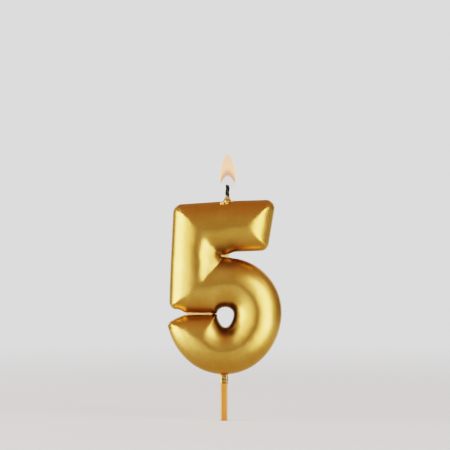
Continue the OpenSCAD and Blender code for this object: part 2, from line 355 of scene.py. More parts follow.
def web_rows(side, up, low, mouth_a, mouth_b, dot=None):
    """Vertices across a slit, from each lip point of up to its partner in low. mouth_a and mouth_b are how far the free ends are hollowed."""
    rows = []
    n = len(up)
    for k, (a, b) in enumerate(zip(up, low)):
        pa, pb = np.array(skin.v[a]), np.array(skin.v[b])
        row = [a]
        along = unit(np.array(skin.v[up[min(k + 1, n - 1)]]) - np.array(skin.v[up[max(k - 1, 0)]]))
        for r in range(1, WEB_ROWS):
            s = r / WEB_ROWS
            p = pa + (pb - pa) * s
            bow = 4 * s * (1 - s)
            p = p + along * (mouth_a * bow * math.exp(-k / (n * 0.14)) - mouth_b * bow * math.exp(-(n - 1 - k) / (n * 0.06)))
            p[1] += side * 0.14 * bow
            if dot is not None:
                g = math.exp(-(((p[0] - dot[0]) / 0.5) ** 2) - ((p[2] - dot[1]) / 0.4) ** 2)
                p[1] += side * 0.7 * g
            row.append(skin.add([p])[0])
        row.append(b)
        rows.append(row)
    return rows


def add_face(side):
    """side -1 is the front, +1 the back."""
    h = face_height(side)
    ids = np.array(
        skin.add([(flat[i, 0], side * h.reshape(-1)[i], flat[i, 1]) for i in range(len(flat))])
    ).reshape(NU, NV)
    quads = []
    for i in range(NU - 1):
        for j in range(NV - 1):
            quads.append((ids[i, j], ids[i, j + 1], ids[i + 1, j + 1], ids[i + 1, j]))
    kinds = [0] * len(quads)
    # right slit: lips on side A, its round end closed with a fan
    u = [ids[i, 0] for i in range(marks[2], marks[3] + 1)]
    l = [ids[i, 0] for i in range(marks[8], marks[6] - 1, -1)]
    up = even_ids(u, [q for q in range(len(u)) if skin.v[u[q]][0] < 2.55])
    low = [ids[i, 0] for i in range(marks[6], marks[8] + 1)]
    low = [q for q in low if skin.v[q][0] < 2.55][::-1]
    web(side, quads, kinds, up, low, 0.55, 0.0)
    arc = [ids[i, 0] for i in range(marks[3], marks[6] + 1)]
    centre = skin.add([(SLIT[0], side * (WEB + 0.14), SLIT[1])])[0]
    ring = last_rows[0]
    loop = arc + ring[::-1][1:-1]
    for a, b in zip(loop, loop[1:] + loop[:1]):
        quads.append((a, centre, b))
        kinds.append(1)
    # left slit, from its mouth to the eye
    up = [ids[i, NV - 1] for i in range(marks[7], marks[8] + 1)]
    low = [ids[i, NV - 1] for i in range(marks[10], marks[9] - 1, -1)]
    web(side, quads, kinds, up, low, 0.75, 0.25, dot=(-5.5, 42.75), until=-5.0)
    return quads, kinds


last_rows = [None]


def even_ids(ids, keep):
    return [ids[k] for k in keep]


def web(side, quads, kinds, up, low, mouth_a, mouth_b, dot=None, until=99.0):
    """Bridges two lips. Where they have different numbers of points, the extra ones are closed with triangles."""
    n = min(len(up), len(low))

    def thin(ids):
        return [ids[int(round(k * (len(ids) - 1) / (n - 1)))] for k in range(n)]

    u2, l2 = thin(up), thin(low)
    rows = web_rows(side, u2, l2, mouth_a, mouth_b, dot)
    for ra, rb in zip(rows, rows[1:]):
        for r in range(WEB_ROWS):
            quads.append((ra[r], ra[r + 1], rb[r + 1], rb[r]))
            # web faces of kind 1 take the lighter gold of the painted highlight
            kinds.append(1 if skin.v[ra[r]][0] < until else 0)
    for full, some, flip in ((up, u2, True), (low, l2, False)):
        at = [full.index(q) for q in some]
        for a, b in zip(at, at[1:]):
            if b > a + 1:
                quads.append(tuple(full[a : b + 1]))
                kinds.append(0)
    last_rows[0] = rows[-1]


def build_skin():
    both = []
    for side in (-1, 1):
        first = len(skin.v)
        quads, kinds = add_face(side)
        both.append((first, quads, kinds))
    return both


def outward_faces(verts, faces, side):
    """Turns every face of one side so that its normal points away from the middle plane."""
    out = []
    for f in faces:
        p = [np.array(verts[i]) for i in f]
        n = sum((np.cross(p[i] - p[0], p[i + 1] - p[0]) for i in range(1, len(p) - 1)), np.zeros(3))
        out.append(tuple(f) if n[1] * side > 0 else tuple(f[::-1]))
    return out


def make_figure():
    both = build_skin()
    faces, kinds, owner = [], [], {}
    for side, (first, quads, ks) in zip((-1, 1), both):
        quads = outward_faces(skin.v, quads, side)
        faces += quads
        kinds += ks
        if side < 0:
            for f in quads:
                for a, b in zip(f, f[1:] + f[:1]):
                    owner.setdefault((min(a, b), max(a, b)), []).append(f)
    # the two sides have the same layout, so a front vertex's partner is a fixed step away
    shift = both[1][0] - both[0][0]
    edges = [(e, fs[0]) for e, fs in owner.items() if len(fs) == 1]
    away = {}
    for (a, b), f in edges:
        pa, pb = np.array(skin.v[a]), np.array(skin.v[b])
        mid = np.mean([skin.v[i] for i in f], axis=0) - (pa + pb) / 2
        d = unit((pb - pa)[[0, 2]])
        out = v2(d[1], -d[0])
        out = -out if out @ mid[[0, 2]] > 0 else out
        for q in (a, b):
            away[q] = away.get(q, 0) + out
    rim = {}
    rows = 5
    for a, out in away.items():
        out = out / max(1e-6, float(np.linalg.norm(out)))
        pa, pb = np.array(skin.v[a]), np.array(skin.v[a + shift])
        ids = [a]
        for r in range(1, rows):
            s = r / rows
            p = pa + (pb - pa) * s
            b = 0.07 * math.sin(math.pi * s) ** 1.5
            ids.append(skin.add([(p[0] + out[0] * b, p[1], p[2] + out[1] * b)])[0])
        rim[a] = [*ids, a + shift]
    for (a, b), f in edges:
        for r in range(rows):
            faces.append((rim[a][r + 1], rim[b][r + 1], rim[b][r], rim[a][r]))
            kinds.append(0)
    return faces, kinds


faces, kinds = make_figure()


def painted_shade_at(pts, front):
    """Painted shade: 1 in the folds by the slits, under the bar and round the eye, where the figure's own lobes shade
    the gold, falling to 0 a few millimetres away.
    """
    slit_d = np.min([near(pts, l) for l in lips[:1]], axis=0)
    left_d = np.min([near(pts, l) for l in lips[1:]], axis=0)
    under_d = near(pts, joined([q for q in bar_under if q[0] < 13.0]))
    arm_d = near(pts, joined([q for q in arm_top if q[0] < 9.0 and q[1] > 60]))
    eye_d = near(pts, joined(eye_up, eye_line, eye_low))
    fade = np.clip((9.5 - pts[:, 0]) / 5.0, 0.15, 1)
    c = np.maximum(0.60 * np.exp(-(((slit_d - 2.3) / 2.5) ** 2)), 0.36 * np.exp(-(((left_d - 0.9) / 1.8) ** 2)))
    c = np.maximum(c, 0.57 * fade * np.exp(-((under_d / 3.1) ** 3)))
    c = np.maximum(c, 0.55 * np.exp(-((near(pts, joined(bar_under)) / 0.9) ** 2)))
    c = np.maximum(c, 0.45 * np.exp(-(((arm_d - 1.2) / 2.2) ** 2)))
    low = np.clip((40.5 - pts[:, 1]) / 3.0, 0, 1)
    side = np.clip((pts[:, 0] - 1.5) / 2.0, 0, 1) * front
    reach = 2.2 + 0.55 * side + 1.4 * low
    return np.maximum(c, (0.50 + 0.2 * front + 0.24 * side) * np.exp(-((eye_d / reach) ** (6 + 2 * side))))


def mesh_object(name, verts, faces, mats, index=None, smooth=True):
    me = bpy.data.meshes.new(name)
    me.from_pydata([tuple(c * MM for c in v) for v in verts], [], [tuple(int(i) for i in f) for f in faces])
    for m in mats:
        me.materials.append(m)
    if index is not None:
        me.polygons.foreach_set("material_index", np.array(index, np.int32))
    me.polygons.foreach_set("use_smooth", np.full(len(me.polygons), smooth))
    me.update()
    ob = bpy.data.objects.new(name, me)
    scene.collection.objects.link(ob)
    return ob


# ---------------------------------------------------------------------------
# materials
# ---------------------------------------------------------------------------


class Mat:
    """A node material with a few shortcuts."""

    def __init__(self, name):
        self.m = bpy.data.materials.new(name)
        self.m.use_nodes = True
        self.t = self.m.node_tree
        self.p = next(n for n in self.t.nodes if n.type == "BSDF_PRINCIPLED")
        self.coord = self.t.nodes.new("ShaderNodeTexCoord").outputs["Object"]

    def node(self, kind, **kw):
        n = self.t.nodes.new("ShaderNode" + kind)
        for k, v in kw.items():
            setattr(n, k, v)
        return n

    def link(self, a, b):
        self.t.links.new(a, b)
        return b

    def stretched(self, scale, rotate=(0, 0, 0)):
        n = self.node("Mapping")
        n.inputs["Scale"].default_value = scale
        n.inputs["Rotation"].default_value = rotate
        self.link(self.coord, n.inputs["Vector"])
        return n.outputs["Vector"]

    def noise(self, scale, detail=3.0, rough=0.5, vector=None, distortion=0.0):
        n = self.node("TexNoise")
        n.inputs["Scale"].default_value = scale
        n.inputs["Detail"].default_value = detail
        n.inputs["Roughness"].default_value = rough
        n.inputs["Distortion"].default_value = distortion
        self.link(vector or self.coord, n.inputs["Vector"])
        return n.outputs["Fac"]

    def cells(self, scale, vector=None):
        n = self.node("TexVoronoi")
        n.inputs["Scale"].default_value = scale
        self.link(vector or self.coord, n.inputs["Vector"])
        return n

    def span(self, value, lo, hi, to_lo, to_hi, smooth=False):
        n = self.node("MapRange", interpolation_type="SMOOTHSTEP" if smooth else "LINEAR")
        self.link(value, n.inputs["Value"])
        for k, x in (("From Min", lo), ("From Max", hi), ("To Min", to_lo), ("To Max", to_hi)):
            n.inputs[k].default_value = x
        return n.outputs["Result"]

    def ramp(self, value, stops):
        n = self.node("ValToRGB")
        r = n.color_ramp
        while len(r.elements) < len(stops):
            r.elements.new(0.5)
        for e, (pos, colour) in zip(r.elements, stops):
            e.position = pos
            e.color = (*colour[:3], colour[3] if len(colour) > 3 else 1.0)
        self.link(value, n.inputs["Fac"])
        return n.outputs["Color"]

    def mix(self, factor, a, b, mode="MIX"):
        n = self.node("Mix", data_type="RGBA", blend_type=mode)
        if isinstance(factor, float):
            n.inputs["Factor"].default_value = factor
        else:
            self.link(factor, n.inputs["Factor"])
        for k, x in ((6, a), (7, b)):
            if isinstance(x, tuple):
                n.inputs[k].default_value = (*x, 1.0)
            else:
                self.link(x, n.inputs[k])
        return n.outputs[2]

    def math(self, op, a, b=0.0, clamp=False):
        n = self.node("Math", operation=op, use_clamp=clamp)
        for k, x in ((0, a), (1, b)):
            if isinstance(x, float):
                n.inputs[k].default_value = x
            else:
                self.link(x, n.inputs[k])
        return n.outputs[0]

    def bump(self, height, strength, distance, under=None):
        n = self.node("Bump")
        n.inputs["Strength"].default_value = strength
        n.inputs["Distance"].default_value = distance
        self.link(height, n.inputs["Height"])
        if under is not None:
            self.link(under, n.inputs["Normal"])
        return n.outputs["Normal"]

    def axis(self, k):
        n = self.node("SeparateXYZ")
        self.link(self.coord, n.inputs[0])
        return n.outputs[k]

    def set(self, **kw):
        for k, v in kw.items():
            self.p.inputs[k.replace("_", " ")].default_value = v


def gold(name, light, dark, rough, grain=1.0, painted_shade_strength=0.0, metal=1.0):
    m = Mat(name)
    slow = m.span(m.noise(110, 3.0), 0.3, 0.7, 0.0, 1.0, True)
    base = m.mix(slow, dark, light)
    flake = m.cells(3800.0)
    spark = m.span(flake.outputs["Color"], 0.0, 1.0, -0.5, 0.5)
    bright = m.node("HueSaturation")
    m.link(base, bright.inputs["Color"])
    m.link(m.math("ADD", m.math("MULTIPLY", spark, 0.16 * grain), 1.0), bright.inputs["Value"])
    colour = bright.outputs["Color"]
    # painted shade: the per-vertex painted_shade attribute mixes the base colour towards near-black brown in the folds
    if painted_shade_strength:
        at = m.node("Attribute", attribute_name="painted_shade")
        colour = m.mix(m.math("MULTIPLY", at.outputs["Fac"], painted_shade_strength), colour, (0.04, 0.018, 0.006))
    m.link(colour, m.p.inputs["Base Color"])
    fine = m.noise(2600.0, 4.0, 0.65)
    m.link(m.span(fine, 0.25, 0.75, rough - 0.05, rough + 0.07), m.p.inputs["Roughness"])
    n = m.bump(fine, 0.16 * grain, 0.00012)
    n = m.bump(flake.outputs["Distance"], 0.10 * grain, 0.00008, n)
    n = m.bump(m.noise(260.0, 3.0, 0.5), 0.12, 0.00035, n)
    m.link(n, m.p.inputs["Normal"])
    m.set(Metallic=metal)
    return m


GOLD = gold("gold_lacquer", (0.84, 0.49, 0.135), (0.76, 0.42, 0.10), 0.32, painted_shade_strength=0.95)
# painted highlight: a lighter, less metallic cream gold on the slit webs, standing in for the bright line they catch
# from the lights
PAINTED_HIGHLIGHT_GOLD = gold("gold_lacquer_painted_highlight", (1.0, 0.76, 0.40), (0.95, 0.70, 0.34), 0.3, 0.4, metal=0.2)

figure = mesh_object("gold_figure", skin.v, faces, [GOLD.m, PAINTED_HIGHLIGHT_GOLD.m], kinds)
# painted shade, stored per vertex: darker gold in the folds by the slits, under the bar and round the eye
painted_shade = figure.data.attributes.new("painted_shade", "FLOAT", "POINT")
painted_shade.data.foreach_set("value", painted_shade_at(np.array(skin.v)[:, [0, 2]], np.clip(0.5 - np.array(skin.v)[:, 1] / 4.0, 0, 1)).astype(np.float32))
bm = bmesh.new()
bm.from_mesh(figure.data)
bmesh.ops.recalc_face_normals(bm, faces=bm.faces)
open_edges = sum(1 for e in bm.edges if len(e.link_faces) != 2)
print("figure", len(bm.verts), "verts", len(bm.faces), "faces", open_edges, "odd edges", "volume cm3", bm.calc_volume() * 1e6)
bm.to_mesh(figure.data)
bm.free()
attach(figure, "root")
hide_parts("gold_lacquer_skin")

# ---------------------------------------------------------------------------
# the other pieces
# ---------------------------------------------------------------------------


def tube(rings, closed_start=True, closed_end=True):
    """Faces for a list of rings of equal length, as (vertices, faces)."""
    n = len(rings[0])
    verts = [tuple(p) for r in rings for p in r]
    fs = []
    for i in range(len(rings) - 1):
        for k in range(n):
            a, b = i * n + k, i * n + (k + 1) % n
            fs.append((a, b, b + n, a + n))
    if closed_start:
        verts.append(tuple(np.mean(rings[0], axis=0)))
        fs += [(len(verts) - 1, (k + 1) % n, k) for k in range(n)]
    if closed_end:
        verts.append(tuple(np.mean(rings[-1], axis=0)))
        o = (len(rings) - 1) * n
        fs += [(len(verts) - 1, o + k, o + (k + 1) % n) for k in range(n)]
    return verts, fs


def tidy(ob):
    b = bmesh.new()
    b.from_mesh(ob.data)
    bmesh.ops.remove_doubles(b, verts=b.verts, dist=1e-7)
    bmesh.ops.recalc_face_normals(b, faces=b.faces)
    b.to_mesh(ob.data)
    b.free()


def fit_out(ob, node):
    tidy(ob)
    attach(ob, "root")
    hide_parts(node)
    return ob


WICK_X, WICK_Z, LEAN = 1.25, 88.0, math.radians(2)
AXIS = np.array([math.sin(LEAN), 0.0, math.cos(LEAN)])
SIDE = np.array([math.cos(LEAN), 0.0, -math.sin(LEAN)])
DEPTH = np.array([0.0, 1.0, 0.0])


def on_wick(h, x=0.0, y=0.0):
    """A point h up the wick's axis from where it leaves the figure."""
    return np.array([WICK_X, 0, WICK_Z]) + AXIS * h + SIDE * x + DEPTH * y


# --- wick: three plies of cotton, each of fine yarns twisted the other way
def char_material(k):
    m = Mat("wick_cotton_%d" % (k + 1))
    z = m.axis(2)
    yarn = m.noise(900.0, 4.0, 0.6, m.stretched((2.2, 2.2, 0.5)))
    char = m.mix(m.span(yarn, 0.42, 0.68, 0.0, 1.0, True), (0.004, 0.004, 0.004), (0.035, 0.033, 0.03))
    waxed = m.mix(m.span(yarn, 0.3, 0.7, 0.0, 1.0), (0.42, 0.21, 0.05), (0.75, 0.52, 0.22))
    edge = m.math("ADD", z, m.math("MULTIPLY", m.noise(700.0, 2.0), 0.0016))
    up = m.span(edge, 0.0892, 0.0912, 0.0, 1.0, True)
    m.link(m.mix(up, waxed, char), m.p.inputs["Base Color"])
    m.link(m.span(up, 0.0, 1.0, 0.35, 0.85), m.p.inputs["Roughness"])
    m.link(m.bump(yarn, 0.5, 0.00012), m.p.inputs["Normal"])
    return m


def make_ply(k):
    lay, orbit, r0 = 8.4, 0.46, 0.40
    lo, hi = -15.0, 6.4
    steps_up, around = 200, 20
    rings = []
    tip = hi - (0.0, 0.1, 0.2)[k]
    for i in range(steps_up + 1):
        t = i / steps_up
        h = lo + (tip - lo) * t
        # the base of the wick sits below, so its turn is counted from there
        phi = 2 * math.pi * (h - lo) / lay * -1 + 2 * math.pi * k / 3
        fray = max(0.0, (h - 4.6) / 1.8)
        o = orbit * (1 + 0.10 * fray * math.sin(3.1 * k + h)) * (0.97 + 0.03 * math.sin(2.3 * h + k))
        c = on_wick(h, o * math.cos(phi), o * math.sin(phi))
        r = r0 * (1 - 0.12 * fray)
        if i == steps_up:
            r *= 0.25
        elif i == steps_up - 1:
            r *= 0.7
        ring = []
        for j in range(around):
            a = 2 * math.pi * j / around
            strand = 0.055 * abs(math.sin(2.5 * (a + phi * 2.2))) ** 0.7 - 0.03
            q = r * (1 + strand) + 0.018 * noise.noise(Vector((7 * math.cos(a), 7 * math.sin(a), 3.1 * h + 9 * k)))
            ring.append(c + SIDE * q * math.cos(a) + DEPTH * q * math.sin(a))
        rings.append(ring)
    v, f = tube(rings)
    ob = mesh_object("wick_ply_%d" % (k + 1), v, f, [char_material(k).m])
    return fit_out(ob, "wick_ply_%d" % (k + 1))


for k in range(3):
    make_ply(k)


# --- the dab of wax round the wick, lacquered with the figure
def wet_gold(name, light, dark, rough, metal=0.85):
    m = Mat(name)
    f = m.span(m.noise(900.0, 3.0), 0.35, 0.65, 0.0, 1.0, True)
    m.link(m.mix(f, dark, light), m.p.inputs["Base Color"])
    m.link(m.bump(m.noise(900.0, 2.0), 0.08, 0.0001), m.p.inputs["Normal"])
    m.set(Metallic=metal, Roughness=rough)
    m.p.inputs["Coat Weight"].default_value = 0.35
    m.p.inputs["Coat Roughness"].default_value = 0.2
    return m


SEAL = wet_gold("seal_wax", (0.80, 0.50, 0.17), (0.42, 0.20, 0.05), 0.34)
DRIP = wet_gold("drip_wax", (0.80, 0.50, 0.17), (0.70, 0.40, 0.12), 0.42, 0.3)

prof = spline(
    [(0.8, -0.95), (1.72, -0.95), (1.74, -0.5), (1.66, -0.1), (1.42, 0.22), (1.2, 0.6), (1.05, 0.95), (0.93, 1.22), (0.8, 1.26)],
    8,
)
rings = []
for j in range(72):
    a = 2 * math.pi * j / 72
    ring = []
    for r, h in prof:
        w = max(0.0, min(1.0, (h + 0.8) / 1.2))
        lump = 1 + w * (0.11 * math.sin(3 * a + 0.8 + 1.5 * h) + 0.06 * math.sin(7 * a + 2.1 - h))
        rr = 0.8 + (r - 0.8) * lump
        ring.append(on_wick(h * (1 + 0.08 * w * math.sin(2 * a + 0.4)), rr * math.cos(a), rr * math.sin(a)))
    rings.append(ring)
n = len(prof)
sv = [tuple(p) for r in rings for p in r]
sf = []
for j in range(72):
    for i in range(n):
        a, b = j * n + i, j * n + (i + 1) % n
        c, d = ((j + 1) % 72) * n + (i + 1) % n, ((j + 1) % 72) * n + i
        sf.append((a, b, c, d))
fit_out(mesh_object("wick_seal_dab", sv, sf, [SEAL.m]), "wick_seal")


# --- three beads that ran from it
def bead(x, y, z, rx, ry, rz, turn, lean, seed):
    verts, fs = [], []
    nu, nv = 40, 20
    ct, st = math.cos(turn), math.sin(turn)
    cl, sl = math.cos(lean), math.sin(lean)
    for i in range(nv + 1):
        th = math.pi * i / nv
        for j in range(nu):
            a = 2 * math.pi * j / nu
            w = 1 + 0.07 * math.sin(2 * a + seed) * math.sin(th)
            p = np.array([rx * w * math.sin(th) * math.cos(a), ry * w * math.sin(th) * math.sin(a), rz * math.cos(th)])
            p = np.array([p[0] * ct - p[2] * st, p[1], p[0] * st + p[2] * ct])
            p = np.array([p[0], p[1] * cl - p[2] * sl, p[1] * sl + p[2] * cl])
            verts.append((x + p[0], y + p[1], z + p[2]))
    for i in range(nv):
        for j in range(nu):
            a, b = i * nu + j, i * nu + (j + 1) % nu
            fs.append((a, b, b + nu, a + nu))
    return verts, fs


bv, bf = [], []
for b in (
    (-0.8, -3.0, 86.78, 0.84, 0.62, 0.74, 0.0, 0.5, 0.3),
    (1.15, -2.9, 86.92, 0.9, 0.5, 0.4, -0.55, 0.5, 1.1),
    (3.1, -1.1, 87.72, 0.5, 0.5, 0.34, 0.1, 0.2, 2.2),
):
    v, f = bead(*b)
    k = len(bv)
    bv += v
    bf += [tuple(q + k for q in face) for face in f]
fit_out(mesh_object("wax_beads", bv, bf, [DRIP.m]), "wax_drips")


# --- pick: a straight-grained square stick
def wood():
    m = Mat("pick_wood")
    z = m.axis(2)
    x = m.axis(0)
    grain = m.noise(420.0, 5.0, 0.6, m.stretched((1.0, 1.0, 0.06)))
    fibre = m.noise(1500.0, 4.0, 0.7, m.stretched((1.0, 1.0, 0.03)))
    c = m.mix(m.span(grain, 0.3, 0.7, 0.0, 1.0, True), (0.43, 0.13, 0.017), (0.55, 0.19, 0.032))
    c = m.mix(m.span(fibre, 0.55, 0.75, 0.0, 0.5, True), c, (0.30, 0.085, 0.014))
    low = m.span(z, 0.0, 0.0055, 0.75, 0.0, True)
    c = m.mix(low, c, (0.46, 0.135, 0.025))
    top = m.span(z, 0.0095, 0.0145, 0.0, 0.4, True)
    c = m.mix(top, c, (0.48, 0.20, 0.026))
    # painted highlight: faces and chamfers turned to the sides are mixed towards a pale tan, standing in for the side
    # lights' sheen on the stick
    side = m.node("NewGeometry").outputs["Normal"]
    sx = m.node("SeparateXYZ")
    m.link(side, sx.inputs[0])
    cut = m.span(m.math("ABSOLUTE", sx.outputs[0]), 0.3, 0.6, 0.0, 0.75, True)
    c = m.mix(cut, c, (0.62, 0.40, 0.13))
    m.link(c, m.p.inputs["Base Color"])
    m.link(m.span(fibre, 0.3, 0.7, 0.38, 0.6), m.p.inputs["Roughness"])
    m.link(m.bump(fibre, 0.35, 0.00012), m.p.inputs["Normal"])
    return m


def stick(rows, w, d, c, flute=0.0, seed=0.0):
    """Rings of a chamfered square section, with a soft radius on every edge. rows: (z, grow)."""
    rings = []
    for z, g in rows:
        base = [(-w + c, -d), (w - c, -d), (w, -d + c), (w, d - c), (w - c, d), (-w + c, d), (-w, d - c), (-w, -d + c)]
        pts = []
        for i, p in enumerate(base):
            q = base[(i + 1) % 8]
            for t in (0.04, 0.12, 0.3, 0.5, 0.7, 0.88, 0.96):
                pts.append((p[0] + (q[0] - p[0]) * t, p[1] + (q[1] - p[1]) * t))
        ring = []
        for i, (x, y) in enumerate(pts):
            r = math.hypot(x, y)
            k = 1 + g / r
            if flute:
                k += flute * noise.noise(Vector((2.2 * x, 2.2 * y, 0.10 * z + seed))) / r
            ring.append((x * k, y * k, z))
        rings.append(ring)
    return rings


pick_rows = [(0.0, -0.12), (0.03, -0.05), (0.12, 0.0)] + [(z, 0.0) for z in np.linspace(0.4, 30.2, 90)] + [(30.4, -0.03), (30.5, -0.1)]
v, f = tube(stick(pick_rows, 1.4, 1.2, 0.45, 0.07, 1.3))
fit_out(mesh_object("pick_stick", v, f, [wood().m]), "pick")

# --- lacquer that ran down on to it: wrinkled, with an uneven lower rim
sleeve = wet_gold("pick_lacquer", (0.78, 0.50, 0.18), (0.50, 0.27, 0.07), 0.22, 0.9)


def sleeve_rings(grow, inner):
    rings = []
    top = 18.65
    for i in range(41):
        t = i / 40
        base = stick([(0.0, 0.0)], 1.4, 1.2, 0.45)[0]
        ring = []
        for x, y, _ in base:
            a = math.atan2(y, x)
            low = 14.85 + (0.0 if inner else 0.0) + 0.16 * math.sin(2 * a + 0.6) + 0.12 * math.sin(5 * a + 1.9)
            z = low + (top - low) * t
            r = math.hypot(x, y)
            g = grow
            if not inner:
                g = 0.02 + (grow - 0.02) * min(1.0, t / 0.06) ** 0.5
                crinkle = noise.noise(Vector((1.1 * x + 0.7 * z, 1.1 * y, 1.05 * z))) + 0.5 * noise.noise(Vector((2.4 * x, 2.4 * y, 2.1 * z + 4)))
                g += 0.10 * crinkle * min(1.0, t / 0.1)
                g += 0.45 * max(0.0, (t - 0.86) / 0.14) ** 2
            ring.append((x * (1 + g / r), y * (1 + g / r), z))
        rings.append(ring)
    return rings


outer, inner = sleeve_rings(0.15, False), sleeve_rings(0.012, True)
n = len(outer[0])
rings = outer + inner[::-1]
v = [tuple(p) for r in rings for p in r]
f = []
for i in range(len(rings)):
    for k in range(n):
        a, b = i * n + k, i * n + (k + 1) % n
        c, d = ((i + 1) % len(rings)) * n + (k + 1) % n, ((i + 1) % len(rings)) * n + k
        f.append((a, b, c, d))
fit_out(mesh_object("lacquer_sleeve", v, f, [sleeve.m]), "pick_lacquer_sleeve")


# --- flame: a glowing veil, open underneath
def flame_mesh(name, mats):
    """A blunt drop on a hollow foot; the underside of the hollow has its own, clearer material."""
    r0, h0 = 3.25, 12.2
    outside = spline(
        [(0.0, 1.0), (0.14, 0.987), (0.27, 0.955), (0.37, 0.915), (0.5, 0.85), (0.66, 0.76), (0.8, 0.66), (0.9, 0.565), (0.97, 0.44), (1.0, 0.3), (1.0, 0.18), (0.99, 0.06), (0.96, -0.02)],
        8,
    )
    under = spline([(0.96, -0.02), (0.9, -0.03), (0.82, 0.01), (0.7, 0.09), (0.5, 0.17), (0.25, 0.235), (0.0, 0.255)], 6)[1:]
    around = 72
    rings = []
    for r, h in outside + under:
        hang = min(1.0, max(0.0, (0.16 - h) / 0.12))
        ring = []
        for j in range(around):
            a = 2 * math.pi * j / around
            drop = 0.95 * hang * min(1.0, max(0.0, (r - 0.6) / 0.3)) * (0.5 + 0.5 * math.cos(a))
            rr = max(r, 1e-4) * r0
            x = 1.5 + rr * math.cos(a) + 0.35 * (1 - h) ** 2 * h * math.cos(2 * a)
            ring.append((x, rr * math.sin(a), 94.4 + h * h0 - drop))
        rings.append(ring)
    v, f = tube(rings)
    index = [1 if (k // around) >= len(outside) - 1 else 0 for k in range(len(f))]
    index[-2 * around : -around] = [0] * around
    return mesh_object(name, v, f, mats, index)


def flame_material(name, shell):
    """Bright all through, paler at its edge, clearing in an arch round the wick."""
    m = bpy.data.materials.new(name)
    m.use_nodes = True
    t = m.node_tree
    t.nodes.clear()
    out = t.nodes.new("ShaderNodeOutputMaterial")
    co = t.nodes.new("ShaderNodeTexCoord")
    sep = t.nodes.new("ShaderNodeSeparateXYZ")
    t.links.new(co.outputs["Object"], sep.inputs[0])

    def mr(v, a, b, c, d):
        n = t.nodes.new("ShaderNodeMapRange")
        n.interpolation_type = "SMOOTHSTEP"
        t.links.new(v, n.inputs["Value"])
        for k, x in (("From Min", a), ("From Max", b), ("To Min", c), ("To Max", d)):
            n.inputs[k].default_value = x
        return n.outputs["Result"]

    def op(kind, a, b):
        n = t.nodes.new("ShaderNodeMath")
        n.operation = kind
        for k, x in ((0, a), (1, b)):
            if isinstance(x, float):
                n.inputs[k].default_value = x
            else:
                t.links.new(x, n.inputs[k])
        return n.outputs[0]

    def mixc(fac, a, b):
        n = t.nodes.new("ShaderNodeMix")
        n.data_type = "RGBA"
        t.links.new(fac, n.inputs["Factor"])
        for k, x in ((6, a), (7, b)):
            if isinstance(x, tuple):
                n.inputs[k].default_value = (*x, 1)
            else:
                t.links.new(x, n.inputs[k])
        return n.outputs[2]

    z = sep.outputs[2]
    layer = t.nodes.new("ShaderNodeLayerWeight")
    layer.inputs["Blend"].default_value = 0.5
    square = op("SUBTRACT", 1.0, layer.outputs["Facing"])
    arch = op("MULTIPLY", op("POWER", square, 2.6), 0.0036)
    over = op("SUBTRACT", op("SUBTRACT", z, arch), 0.0940)
    body = mixc(mr(over, 0.0006, 0.0042, 0.0, 1.0), FLAME_LOW, FLAME_MID)
    body = mixc(mr(z, 0.1005, 0.1058, 0.0, 1.0), body, FLAME_TOP)
    body = mixc(mr(layer.outputs["Facing"], 0.38, 0.82, 0.0, 0.9), body, FLAME_EDGE)
    em = t.nodes.new("ShaderNodeEmission")
    t.links.new(body, em.inputs["Color"])
    em.inputs["Strength"].default_value = 1.0
    clear = t.nodes.new("ShaderNodeBsdfTransparent")
    mix = t.nodes.new("ShaderNodeMixShader")
    if shell:
        t.links.new(mr(over, -0.0003, 0.0012, 0.03, 0.9), mix.inputs["Fac"])
    else:
        mix.inputs["Fac"].default_value = 0.04
    t.links.new(clear.outputs[0], mix.inputs[1])
    t.links.new(em.outputs[0], mix.inputs[2])
    t.links.new(mix.outputs[0], out.inputs["Surface"])
    return m


FLAME_LOW, FLAME_MID = (0.80, 0.40, 0.25), (1.75, 0.82, 0.42)
FLAME_TOP, FLAME_EDGE = (1.45, 0.76, 0.47), (1.15, 1.2, 0.8)
flame = flame_mesh("flame_veil", [flame_material("flame", True), flame_material("flame_hollow", False)])
flame.visible_shadow = False
flame.visible_glossy = False
fit_out(flame, "flame")

# --- the casting under the lacquer: the drawn core, brought to the same swollen faces
def make_core():
    m = Mat("ivory_wax")
    m.link(
        m.mix(m.span(m.noise(160.0, 3.0), 0.3, 0.7, 0.0, 1.0), (0.86, 0.80, 0.66), (0.92, 0.88, 0.76)),
        m.p.inputs["Base Color"],
    )
    m.link(m.bump(m.noise(600.0, 3.0), 0.15, 0.0003), m.p.inputs["Normal"])
    m.set(Roughness=0.42)
    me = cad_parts["wax_core"].data.copy()
    b = bmesh.new()
    b.from_mesh(me)
    bmesh.ops.remove_doubles(b, verts=b.verts, dist=1e-7)
    for _ in range(3):
        far = [e for e in b.edges if e.calc_length() > 1.3 * MM]
        bmesh.ops.subdivide_edges(b, edges=far, cuts=1)
        bmesh.ops.triangulate(b, faces=b.faces)
    b.verts.ensure_lookup_table()
    co = np.array([v.co for v in b.verts]) / MM
    pts = co[:, [0, 2]]
    inner = depth(pts)[0]
    lip = np.min([near(pts, l) for l in lips], axis=0)
    for side in (-1, 1):
        cap = np.maximum(height_at(pts, inner, lip, side) - 0.25, 0.05)
        hit = co[:, 1] * side > cap
        co[hit, 1] = side * cap[hit]
    for v, c in zip(b.verts, co):
        v.co = Vector(c * MM)
    bmesh.ops.recalc_face_normals(b, faces=b.faces)
    b.to_mesh(me)
    b.free()
    me.materials.clear()
    me.materials.append(m.m)
    ob = bpy.data.objects.new("wax_casting", me)
    scene.collection.objects.link(ob)
    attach(ob, "root")
    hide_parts("wax_core")


make_core()

# ---------------------------------------------------------------------------
# stage and light
# ---------------------------------------------------------------------------


PALE = 1.0


